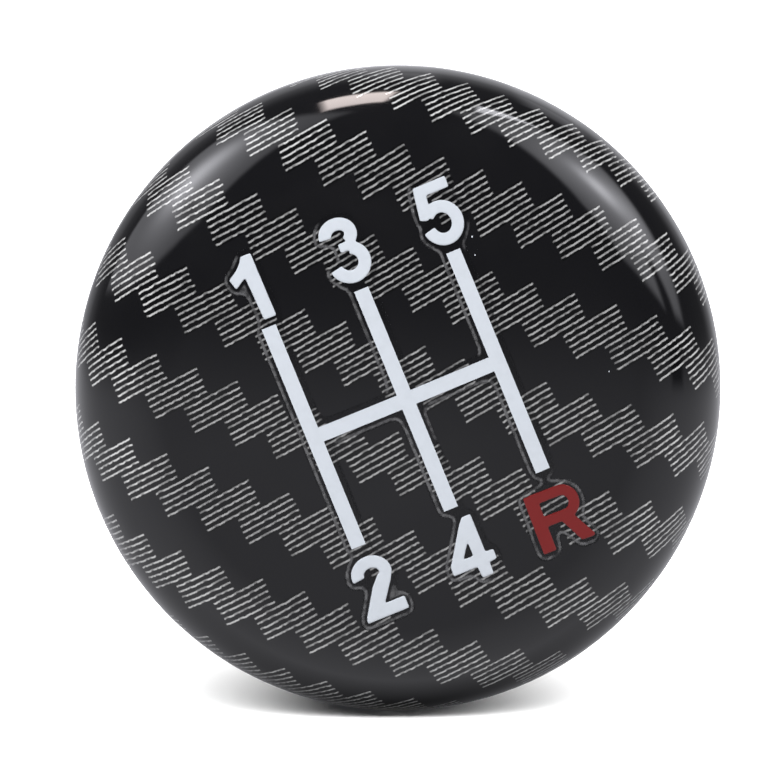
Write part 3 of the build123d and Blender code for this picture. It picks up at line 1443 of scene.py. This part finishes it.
@dataclass
class SetScrews:
    """Three hexagon-socket set screws, evenly round the collar, with their points in the bush's groove.

    The mouth of the socket is wider than the socket and as deep as a share of the screw's edge.
    """

    count: int = 3
    start: float = -90.0
    radius: float = 0.0025
    point_radius: float = 0.00175
    inner: float = 0.0075
    length: float = 0.005
    height: float = 0.0045
    edge: float = 0.00025
    socket_flats: float = 0.0025
    socket_depth: float = 0.0024
    mouth_size: float = 1.06
    mouth_depth: float = 0.3
    drill_tip: float = 0.0004
    segments: int = 48

    def hexagon(self, scale: float = 1.0) -> Line:
        """Points round the socket, as many as round the screw.

        Args:
            scale: Share of the socket's size.

        Returns:
            The points about the screw's axis.
        """
        points = []
        for step in range(self.segments):
            turn = 2 * math.pi * step / self.segments
            off = (turn + math.pi / 6) % (math.pi / 3) - math.pi / 6
            reach = scale * self.socket_flats / 2 / math.cos(off)
            points.append((reach * math.cos(turn), reach * math.sin(turn)))
        return points

    def one(self) -> bmesh.types.BMesh:
        """One screw along +X, in place in its hole.

        Returns:
            A closed work mesh.
        """
        work = bmesh.new()
        outer = self.inner + self.length
        turns = [2 * math.pi * step / self.segments for step in range(self.segments)]
        shoulder = self.inner + self.radius - self.point_radius
        rounds = [(self.point_radius, self.inner), (self.radius, shoulder)]
        rounds += [(self.radius, outer - self.edge), (self.radius - self.edge, outer)]
        loops = [([(r * math.cos(a), r * math.sin(a)) for a in turns], x) for r, x in rounds]
        mouth = outer - self.mouth_depth * self.edge
        floor = outer - self.socket_depth
        loops += [(self.hexagon(self.mouth_size), outer), (self.hexagon(), mouth), (self.hexagon(), floor)]
        rows = []
        for points, x in loops:
            rows.append([work.verts.new((x, a, self.height + b)) for a, b in points])
        for near, far in zip(rows, rows[1:]):
            for step in range(self.segments):
                after = (step + 1) % self.segments
                work.faces.new((near[step], near[after], far[after], far[step]))
        tip = work.verts.new((self.inner, 0.0, self.height))
        drill = work.verts.new((floor - self.drill_tip, 0.0, self.height))
        for step in range(self.segments):
            after = (step + 1) % self.segments
            work.faces.new((tip, rows[0][after], rows[0][step]))
            work.faces.new((drill, rows[-1][step], rows[-1][after]))
        bmesh.ops.recalc_face_normals(work, faces=work.faces[:])
        return work

    def build(self, finish: TurnedMetal) -> bpy.types.Object:
        """Sets the screws round the collar.

        Args:
            finish: The metal.

        Returns:
            The three screws as one piece.
        """
        whole = {"Count": "NodeSocketInt", "Start": "NodeSocketFloat", "Material": "NodeSocketMaterial"}
        graph, entry = new_tree("screw_ring", whole)
        points = graph.node("GeometryNodePoints", {"Count": entry.outputs["Count"]}).outputs[0]
        step = graph.math("DIVIDE", 2 * math.pi, entry.outputs["Count"])
        turn = graph.math("MULTIPLY", graph.node("GeometryNodeInputIndex").outputs[0], step)
        angles = graph.combine(0.0, 0.0, graph.math("ADD", turn, entry.outputs["Start"]))
        facing = graph.node("FunctionNodeEulerToRotation", {0: angles}).outputs[0]
        inputs = {"Points": points, "Instance": entry.outputs["Geometry"], "Rotation": facing}
        ring = graph.node("GeometryNodeInstanceOnPoints", inputs).outputs[0]
        close_tree(graph, ring, entry.outputs["Material"])
        material = finish.material()
        seed = new_piece("screw", mesh_from(self.one(), "screw"), material)
        values = {"Count": self.count, "Start": math.radians(self.start), "Material": material}
        return new_piece("socket_set_screws", run_nodes(seed, graph.tree, values), material)


def dress(node: str, material: bpy.types.Material) -> None:
    """Gives a solid that stays its finish.

    Args:
        node: Name of the solid.
        material: Its finish.
    """
    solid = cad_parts[node]
    solid.data.materials.clear()
    solid.data.materials.append(material)
    log.info("%s dressed with %s", node, material.name)


def place(piece: bpy.types.Object, slot: str, node: str | None = None) -> None:
    """Puts a finished piece on the knob.

    Args:
        piece: The piece, in place.
        slot: The record's material slot, which is not used.
        node: The solid that it stands for, if any.
    """
    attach(piece, BODY)
    if node:
        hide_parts(node)
    log.info("%s made, %d faces", piece.name, len(piece.data.polygons))


@dataclass(frozen=True)
class PictureView:
    """Where the camera stands: a long lens over the face, tilted a little off the lever's axis.

    The roll is how far the gate leans to the left in the picture, and the lean points to the picture's own
    axes. The offset is where the widest circle's centre lies from the middle of the picture, in pixels.
    """

    roll: float = 22.2
    tilt: float = 5.75
    lean: float = 125.0
    distance: float = 1.25
    circle_pixels: float = 323.2
    offset: Pair = (7.2, 2.9)
    sensor: float = 36.0
    nearest: float = 0.01

    def axes(self) -> tuple[Vector, Vector]:
        """The picture's right and up, square to the lever's axis."""
        turn = math.radians(self.roll)
        return Vector((math.cos(turn), -math.sin(turn), 0)), Vector((math.sin(turn), math.cos(turn), 0))

    def toward(self, tilt: float, lean: float) -> Vector:
        """A direction.

        Args:
            tilt: How far it tilts from the lever's axis, in degrees.
            lean: Where it tilts to, in degrees from the picture's right towards its top.

        Returns:
            The direction, one unit long.
        """
        right, up = self.axes()
        tilt, lean = math.radians(tilt), math.radians(lean)
        side = right * math.cos(lean) + up * math.sin(lean)
        return side * math.sin(tilt) + Vector((0, 0, math.cos(tilt)))

    def build(self, head: KnobHead) -> None:
        """Makes the camera and puts it to use.

        Args:
            head: The head that the picture is framed on.
        """
        back = self.toward(self.tilt, self.lean)
        across = self.axes()[1].cross(back).normalized()
        above = back.cross(across)
        scale = head.radius / self.circle_pixels
        aim = Vector((0, 0, head.widest)) - across * self.offset[0] * scale - above * self.offset[1] * scale
        data = bpy.data.cameras.new("camera")
        data.sensor_width = self.sensor
        data.lens = self.sensor * self.distance / (PICTURE_SIDE * scale)
        data.clip_start = self.nearest
        camera = add_object("camera", data)
        camera.matrix_world = standing((across, above, back), aim + back * self.distance)
        bpy.context.scene.camera = camera


@dataclass(frozen=True)
class HotSpot:
    """The glow of a lamp behind a panel, by its middle, its spread and its strength."""

    middle: Pair
    spread: Pair
    level: float

    def glow(self, turn: Field, height: Field) -> Field:
        """Light of the spot over the wall.

        Args:
            turn: Direction of each point in degrees.
            height: Height of each point in millimetres.

        Returns:
            Light of each point.
        """
        across = turn_from(turn, self.middle[0]) / self.spread[0]
        along = (height - self.middle[1]) / self.spread[1]
        return self.level * np.exp(-(across**2 + along**2))


@dataclass(frozen=True)
class LightPanel:
    """A lit patch on the wall of the tent, drawn by its corners.

    Corners are directions in degrees from the picture's right, towards its top, and heights in millimetres.
    On the wall a degree is about as long as a millimetre.
    """

    level: float
    soft: float
    corners: tuple[Pair, ...]
    spots: tuple[HotSpot, ...] = ()
    tint: Triple = (0.985, 0.985, 1.045)

    def glow(self, turn: Field, height: Field) -> Field:
        """Light of the panel over the wall.

        Args:
            turn: Direction of each point in degrees.
            height: Height of each point in metres.

        Returns:
            Colour of each point.
        """
        middle = sum(corner[0] for corner in self.corners) / len(self.corners)
        turn, height = middle + turn_from(turn, middle), height / MM
        share = 1 - soft_step(patch(turn, height, list(self.corners)), -self.soft / 2, self.soft / 2)
        light = self.level + sum(spot.glow(turn, height) for spot in self.spots)
        return (share * light)[:, None] * np.array(self.tint)


@dataclass(frozen=True)
class DayLamp:
    """A distant lamp, by its tilt from the lever's axis and the direction of that tilt in the picture.

    Angles are in degrees, and directions run from the picture's right towards its top.
    """

    name: str
    strength: float
    tilt: float
    lean: float
    spread: float


@dataclass(frozen=True)
class Ground:
    """Light of the ground that the gloss sees round the knob.

    Above the picture's middle it is dim, but paler towards the knob and darker in one corner. Below it lies
    the white table, with the knob's shadow. Corner and shadow are given as (direction, spread), in degrees.
    """

    near_run: Pair = (0.046, 0.062)
    rim_run: Pair = (0.024, 0.036)
    dim: float = 0.33
    dim_near: float = 0.4
    dim_rim: float = 0.3
    corner: Pair = (147.0, 42.0)
    corner_loss: float = 0.62
    lit: float = 0.86
    lit_rim: float = 0.1
    shadow: Pair = (273.0, 45.0)
    shadow_loss: float = 0.95

    def levels(self, turn: Field, out: Field) -> tuple[Field, Field]:
        """Light of the dim and of the lit half.

        Args:
            turn: Direction of each point in degrees.
            out: Its distance from the lever's axis.

        Returns:
            Both levels, as they would be at each point.
        """
        near = 1 - soft_step(out, *self.near_run)
        rim = 1 - soft_step(out, *self.rim_run)
        corner, shadow = (np.exp(-((turn_from(turn, a) / b) ** 2)) for a, b in (self.corner, self.shadow))
        dim = (self.dim + self.dim_near * near) * (1 - self.corner_loss * corner) + self.dim_rim * rim
        return dim, (self.lit + self.lit_rim * rim) * (1 - self.shadow_loss * shadow)


class Lights(Enum):
    """What a lamp lights: the table alone, or all but the table."""

    TABLE = "INCLUDE"
    KNOB = "EXCLUDE"


@dataclass
class Studio:
    """White table, soft daylight and a tent that only reflections see, so that the gloss shows its panels."""

    view: PictureView
    table_half: float = 6.0
    table_drop: float = 0.00006
    table_pitch: float = 3.5
    table_shade: float = 0.93
    table_rough: float = 0.9
    table_lamp_power: float = 36.0
    table_lamp_size: Pair = (2.4, 0.36)
    table_lamp_far: float = 0.4
    table_lamp_tilt: float = 58.0
    table_lamp_side: float = 0.42
    lit_zone: Pair = (0.05, 0.11)
    ambient: float = 0.05
    tent_mouth: float = 0.0145
    tent_foot: float = 0.0004
    tent_radius: float = 0.058
    tent_height: float = 0.12
    tent_steps: int = 360
    tent_rows: int = 120
    tent_rings: int = 40
    ground: Ground = Ground()
    dusk: float = 0.085
    dusk_top: float = 0.022
    darkest: float = 0.6
    daylight: Pair = (0.88, 0.54)
    daylight_climb: float = 0.0465
    daylight_power: float = 3.5
    daylight_side_loss: float = 0.1
    air: Triple = (0.985, 0.985, 1.045)
    horizon: Pair = (0.0006, 0.0012)
    horizon_lean: float = 0.0007
    horizon_soft: Pair = (0.0025, 0.006)
    roof_blend: Pair = (0.05, 0.115)
    lamps: tuple[DayLamp, ...] = (
        DayLamp("front", 2.63, 22.0, 100.0, 20.0),
        DayLamp("above", 0.8, 90.0, 90.0, 80.0),
        DayLamp("left", 1.65, 90.0, 180.0, 80.0),
        DayLamp("right", 1.1, 90.0, 0.0, 80.0),
    )

    def panels(self) -> list[LightPanel]:
        """The panels on the tent's wall.

        Returns:
            Two soft boxes with their lamps, a strip, a bright corner, a dark post and two dim streaks.
        """
        left_edge = ((99.4, 51.5), (117.8, 60.4), (130, 66.2), (140.2, 69.5), (148.3, 63.8), (155.4, 55.7))
        left_edge += ((160.7, 41.9), (162.3, 22.1), (151, 19.8), (130.1, 21.3), (123.8, 22.9), (111.6, 40.9))
        left_lamps = (HotSpot((135, 45), (16, 14), 2.2), HotSpot((135.5, 40), (7, 6.5), 4.6))
        left_lamps += (HotSpot((126.5, 41), (6.5, 5.5), 2.3), HotSpot((139.5, 54), (2.5, 6), -1.3))
        right_edge = ((11, 46.5), (13, 51.5), (25, 53.5), (25.5, 57), (15.4, 59), (28, 76.9), (43, 73.5))
        right_edge += ((53.6, 67), (63.8, 60), (79, 51), (58.4, 40), (46, 36.2), (33, 40), (18, 44))
        right_lamps = (HotSpot((46, 55), (16, 13), 2.2), HotSpot((43.5, 52.3), (6, 4), 5.4))
        right_lamps += (HotSpot((36, 47.5), (9, 6), 2.2), HotSpot((22, 55), (12, 12), 0.6))
        left = LightPanel(0.95, 4.0, left_edge, left_lamps)
        right = LightPanel(0.95, 4.0, right_edge, right_lamps)
        strip_edge = ((88.9, 36.6), (91.7, 46), (104.2, 45.3), (104.1, 35.8))
        strip = LightPanel(12.5, 1.2, strip_edge, tint=(1.0, 0.88, 0.85))
        corner = LightPanel(9.0, 1.4, ((60, 39.8), (72.8, 46.9), (72.7, 40.9)))
        low, high = 1.0, 20.0
        streaks = []
        for turn in (57, 87):
            edge = ((turn - 6, low), (turn - 6, high), (turn + 6, high), (turn + 6, low))
            streaks.append(LightPanel(0.4, 6.0, edge))
        post = LightPanel(-0.42, 4.5, ((-1.2, 54), (-1.2, 63), (6, 63), (6, 54)))
        return [left, right, strip, corner, post] + streaks

    def glow(self, points: Field) -> Field:
        """Light of the tent at its points.

        The lower half of the picture's surroundings, the table, is bright and the upper half dim. The ground
        behind the knob is paler towards the knob, but for its shadow on the table.

        Args:
            points: Places on the tent.

        Returns:
            Colour of each, with an alpha of 1.
        """
        right, up = (np.array(axis) for axis in self.view.axes())
        across, above = points @ right, points @ up
        turn = np.degrees(np.arctan2(above, across))
        height = points[:, 2]
        rise = soft_step(height, *self.roof_blend)
        slant = self.horizon_lean * (1 - rise) * across / self.tent_radius
        horizon = mix(*self.horizon, rise) - slant
        day = 1 / (1 + np.exp((above - horizon) / mix(*self.horizon_soft, rise)))
        side = self.daylight_side_loss * np.maximum(across / self.tent_radius, 0)
        bright = mix(*self.daylight, rise) * (1 - side)
        dim, lit = self.ground.levels(turn, np.hypot(across, above))
        dim = mix(dim, self.dusk, soft_step(height, self.tent_foot, self.dusk_top))
        climb = np.clip((height - self.tent_foot) / self.daylight_climb, 0, 1) ** self.daylight_power
        colour = mix(dim, mix(lit, bright, climb), day)[:, None] * np.array(self.air)
        for panel in self.panels():
            colour += panel.glow(turn, height)
        colour = np.maximum(colour, self.darkest * self.dusk)
        return np.concatenate([colour, np.ones((len(points), 1))], axis=1)

    def build_tent(self) -> bpy.types.Object:
        """Makes the tent: a closed drum round the knob that gives light to reflections alone.

        Returns:
            The tent.
        """
        rows, rings = self.tent_rows, self.tent_rings
        rise = self.tent_height - self.tent_foot
        wall = [(self.tent_radius, self.tent_foot + rise * row / rows) for row in range(rows)]
        roof = [(self.tent_radius * (1 - row / rings), self.tent_height) for row in range(rings)]
        span = self.tent_radius - self.tent_mouth
        ground = [(self.tent_mouth + span * row / rings, self.tent_foot) for row in range(rings)]
        outline = [(0.0, self.tent_foot)] + ground + wall + roof + [(0.0, self.tent_height)]
        work = lathe(outline, self.tent_steps)
        foot = [vert for vert in work.verts if vert.co.z < self.tent_height / 2]
        middle = [vert for vert in foot if math.hypot(*vert.co.xy) < ON_AXIS]
        bmesh.ops.delete(work, geom=middle, context="VERTS")
        mesh = mesh_from(work, "tent")
        points = np.zeros(len(mesh.vertices) * 3)
        mesh.vertices.foreach_get("co", points)
        layer = mesh.color_attributes.new(GLOW, "FLOAT_COLOR", "POINT")
        layer.data.foreach_set("color", self.glow(points.reshape(-1, 3)).ravel())
        material, graph, _ = new_material("tent")
        material.node_tree.nodes.clear()
        paint = graph.node("ShaderNodeAttribute", attribute_name=GLOW).outputs["Color"]
        light = graph.node("ShaderNodeEmission", {"Color": paint, "Strength": 1.0}).outputs[0]
        graph.node("ShaderNodeOutputMaterial", {"Surface": light})
        tent = new_piece("tent", mesh, material)
        tent.visible_camera = False
        tent.visible_diffuse = False
        tent.visible_shadow = False
        tent.visible_transmission = False
        return tent

    def rest(self, head: KnobHead) -> Vector:
        """Where the rim touches the table, at the picture's bottom."""
        return Vector((0, 0, head.widest)) - self.view.axes()[1] * (head.radius + self.table_drop)

    def build_table(self, head: KnobHead) -> bpy.types.Object:
        """Makes the white table that the knob lies on, with the face turned down to it a little.

        It is seen from above alone, so that it hides nothing from other sides, and far from the knob it is
        plain white.

        Args:
            head: The head that rests on it.

        Returns:
            The table.
        """
        right, _ = self.view.axes()
        rest = self.rest(head)
        normal = self.view.toward(90.0 - self.table_pitch, 90.0)
        stand = standing((right, normal.cross(right), normal), rest)
        work = bmesh.new()
        bmesh.ops.create_grid(work, x_segments=8, y_segments=8, size=self.table_half)
        bmesh.ops.transform(work, matrix=stand, verts=work.verts[:])
        material, graph, shader = new_material("table")
        away = graph.vector("LENGTH", graph.vector("SUBTRACT", object_place(graph), tuple(rest)))
        below = graph.node("ShaderNodeNewGeometry").outputs["Backfacing"]
        inputs = {
            "Base Color": (self.table_shade,) * 3 + (1.0,),
            "Roughness": self.table_rough,
            "Specular IOR Level": 0.0,
            "Emission Color": (1.0, 1.0, 1.0, 1.0),
            "Emission Strength": graph.math("MULTIPLY", self.seen(graph), graph.ease(away, *self.lit_zone)),
            "Alpha": graph.math("SUBTRACT", 1.0, below),
        }
        graph.wire(shader, inputs)
        table = new_piece("table", mesh_from(work, "table"), material)
        table.visible_glossy = False
        table.visible_diffuse = False
        return table

    def new_lamp(
        self, data: bpy.types.Light, energy: float, table: bpy.types.Object, lights: Lights
    ) -> bpy.types.Object:
        """A lamp that reflections don't see.

        Args:
            data: Its type and name.
            energy: Its strength.
            table: The table.
            lights: What it lights.

        Returns:
            The lamp.
        """
        data.energy = energy
        lamp = add_object(data.name, data)
        lamp.visible_glossy = False
        group = bpy.data.collections.new(f"{data.name}_lit")
        group.objects.link(table)
        group.collection_objects[0].light_linking.link_state = lights.value
        lamp.light_linking.receiver_collection = group
        return lamp

    def build_table_lamp(self, head: KnobHead, table: bpy.types.Object) -> None:
        """Hangs a long lamp over the table, for the shadow below the rim, which lights the table alone.

        Args:
            head: The head that rests on the table.
            table: The table.
        """
        data = bpy.data.lights.new("table_lamp", "AREA")
        data.shape = "RECTANGLE"
        data.size, data.size_y = self.table_lamp_size
        lamp = self.new_lamp(data, self.table_lamp_power, table, Lights.TABLE)
        right, _ = self.view.axes()
        back = self.view.toward(self.table_lamp_tilt, 90.0)
        spot = self.rest(head) + back * self.table_lamp_far + right * self.table_lamp_side
        lamp.matrix_world = standing((right, back.cross(right), back), spot)

    def seen(self, graph: Graph) -> Socket:
        """1 for what the eye, a reflection or glass looks at, and 0 for light that falls on the knob.

        Args:
            graph: The graph of the table or the sky.

        Returns:
            The mask.
        """
        path = graph.node("ShaderNodeLightPath").outputs
        direct = graph.math("MAXIMUM", path["Is Camera Ray"], path["Is Glossy Ray"])
        return graph.math("MAXIMUM", direct, path["Is Transmission Ray"])

    def build_light(self, table: bpy.types.Object) -> None:
        """Sets the daylight: an even sky, white to the eye, and broad, distant lamps that light the knob.

        Args:
            table: The table, which has its own lamp.
        """
        world = bpy.data.worlds.new("sky")
        world.use_nodes = True
        graph = Graph(world.node_tree)
        level = graph.ease(self.seen(graph), 0.0, 1.0, self.ambient, 1.0)
        graph.wire(world.node_tree.nodes["Background"], {"Color": (1.0, 1.0, 1.0, 1.0), "Strength": level})
        bpy.context.scene.world = world
        for lamp in self.lamps:
            data = bpy.data.lights.new(lamp.name, "SUN")
            data.angle = math.radians(lamp.spread)
            made = self.new_lamp(data, lamp.strength, table, Lights.KNOB)
            aim = self.view.toward(lamp.tilt, lamp.lean)
            made.rotation_euler = aim.to_track_quat("Z", "Y").to_euler()


def main() -> None:
    """Builds the picture: the camera, the knob from its face to its foot, and the studio."""
    logging.basicConfig(level=logging.INFO, format="%(message)s")
    bpy.context.scene.view_settings.view_transform = "Standard"
    head = KnobHead.from_frame()
    view = PictureView()
    view.build(head)
    white = TransferInk(InkShade.WHITE)
    place(head.build(CarbonPrint()), "carbon_print", "knob_head")
    transfer = Transfer(head)
    figures = [gear for gear in Gear if gear is not Gear.REVERSE]
    place(transfer.build_ink("gear_figures", figures, True, white), "white_ink")
    place(transfer.build_ink("reverse_letter", [Gear.REVERSE], False, TransferInk(InkShade.RED)), "red_ink")
    for film in transfer.build_film(ClearFilm()):
        place(film, "clear_film")
    dress("gate_print", white.material())
    dress("base_collar", TurnedMetal(MetalShade.BLACK_ANODISED).material())
    aluminium, steel = (TurnedMetal(shade) for shade in (MetalShade.BARE_ALUMINIUM, MetalShade.BLACK_STEEL))
    place(ThreadBush.from_frame().build(aluminium), "bare_aluminium", "thread_bush")
    place(SetScrews().build(steel), "black_steel", "set_screws")
    studio = Studio(view)
    table = studio.build_table(head)
    studio.build_table_lamp(head, table)
    studio.build_tent()
    studio.build_light(table)


if __name__ == "__main__":
    main()
